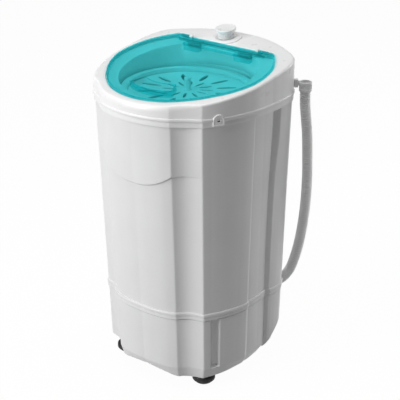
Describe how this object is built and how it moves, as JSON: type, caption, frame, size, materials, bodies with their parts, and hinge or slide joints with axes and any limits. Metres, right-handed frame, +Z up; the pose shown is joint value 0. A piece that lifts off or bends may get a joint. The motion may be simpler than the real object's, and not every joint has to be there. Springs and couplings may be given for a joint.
{
  "type": "laundry spin dryer",
  "caption": "Portable centrifugal laundry spin dryer: round white tub housing with a sloping deck, tinted see-through hinged lid, timer knob, spinning basket and a ribbed drain hose clipped to its side.",
  "frame": {"origin": "centre of the underside, on the floor below the soles of the feet", "axes": "+Z up along the spin axis, -Y to the front under the lid's finger recess, +X to the right-hand side where the hose end is clipped"},
  "size_m": [0.3486, 0.337, 0.6225],
  "materials": {
    "white_plastic": "satin white moulded plastic",
    "cover_plastic": "glossy white moulded plastic",
    "teal_plastic": "clear tinted teal plastic",
    "inner_plastic": "light grey white moulded plastic",
    "hose_plastic": "soft grey white corrugated plastic",
    "black_rubber": "matt black rubber",
    "grey_rubber": "matt grey rubber",
    "steel": "plain bright steel",
    "dark_steel": "dark painted steel",
    "motor_paint": "black painted pressed steel",
    "cast_iron": "machined cast iron",
    "black_plastic": "matt black plastic"
  },
  "bodies": {
    "root": {"base_shell": "white_plastic", "casing_shell": "white_plastic", "top_cover": "cover_plastic", "base_plate": "dark_steel", "foot_front_left": "black_rubber", "foot_front_right": "black_rubber", "foot_rear_left": "black_rubber", "foot_rear_right": "black_rubber", "cover_screw_front_left": "steel", "cover_screw_front_right": "steel", "cover_screw_rear_left": "steel", "cover_screw_rear_right": "steel", "tub": "inner_plastic", "drain_elbow": "inner_plastic", "drain_hose": "hose_plastic", "hose_cuff": "cover_plastic", "hose_clip": "cover_plastic", "cord_gland": "black_plastic", "capacitor": "dark_steel", "capacitor_strap": "steel", "spring_cup_1": "black_plastic", "spring_cup_2": "black_plastic", "spring_cup_3": "black_plastic", "suspension_spring_1": "steel", "suspension_spring_2": "steel", "suspension_spring_3": "steel", "shaft_bellows": "grey_rubber", "hinge_pin_left": "steel", "hinge_pin_right": "steel", "switch_body": "black_plastic", "timer_bezel": "cover_plastic", "timer_body": "black_plastic"},
    "drive_unit": {"motor_body": "motor_paint", "motor_bracket": "dark_steel", "bearing_sleeve": "cast_iron", "brake_pin": "steel"},
    "spinner": {"drive_shaft": "steel", "brake_drum": "cast_iron", "basket": "steel", "balance_ring": "inner_plastic", "basket_hub": "inner_plastic", "hub_nut": "steel"},
    "pressing_disc": {"press_disc": "inner_plastic", "disc_grip": "inner_plastic"},
    "lid": {"lid": "teal_plastic"},
    "knob": {"timer_knob": "cover_plastic", "timer_shaft": "steel"},
    "brake_arm": {"brake_lever": "dark_steel", "brake_pad": "black_rubber"},
    "switch_arm": {"switch_lever": "black_plastic"}
  },
  "joints": [
    {"name": "lid_hinge", "type": "hinge", "parent": "root", "child": "lid", "pos_m": [0, 0.10509, 0.59723], "axis": [-1, 0, 0], "range_deg": [0, 100]},
    {"name": "timer_turn", "type": "hinge", "parent": "root", "child": "knob", "pos_m": [-0.016, 0.13306, 0.59944], "axis": [0, -0.1426, 0.9898], "range_deg": [0, 300]},
    {"name": "suspension_bounce", "type": "slide", "parent": "root", "child": "drive_unit", "axis": [0, 0, 1], "range_m": [-0.005, 0.004], "stiffness_N_per_m": 8000, "springref_m": 0.0074, "deforming": ["suspension_spring_1", "suspension_spring_2", "suspension_spring_3"]},
    {"name": "basket_spin", "type": "hinge", "parent": "drive_unit", "child": "spinner", "pos_m": [0, 0, 0.15], "axis": [0, 0, 1], "continuous": true},
    {"name": "disc_lift", "type": "slide", "parent": "spinner", "child": "pressing_disc", "axis": [0, 0, 1], "range_m": [0, 0.012]},
    {"name": "brake_swing", "type": "hinge", "parent": "drive_unit", "child": "brake_arm", "pos_m": [0.054, 0.006, 0.12], "axis": [0, 0, -1], "range_deg": [0, 4]},
    {"name": "switch_swing", "type": "hinge", "parent": "root", "child": "switch_arm", "pos_m": [0.046, 0.1338, 0.5922], "axis": [-1, 0, 0], "range_deg": [0, 10]}
  ],
  "couplings": [
    {"joint": "brake_swing", "follows": "lid_hinge", "ratio": 0.04},
    {"joint": "switch_swing", "follows": "lid_hinge", "ratio": 0.1}
  ]
}
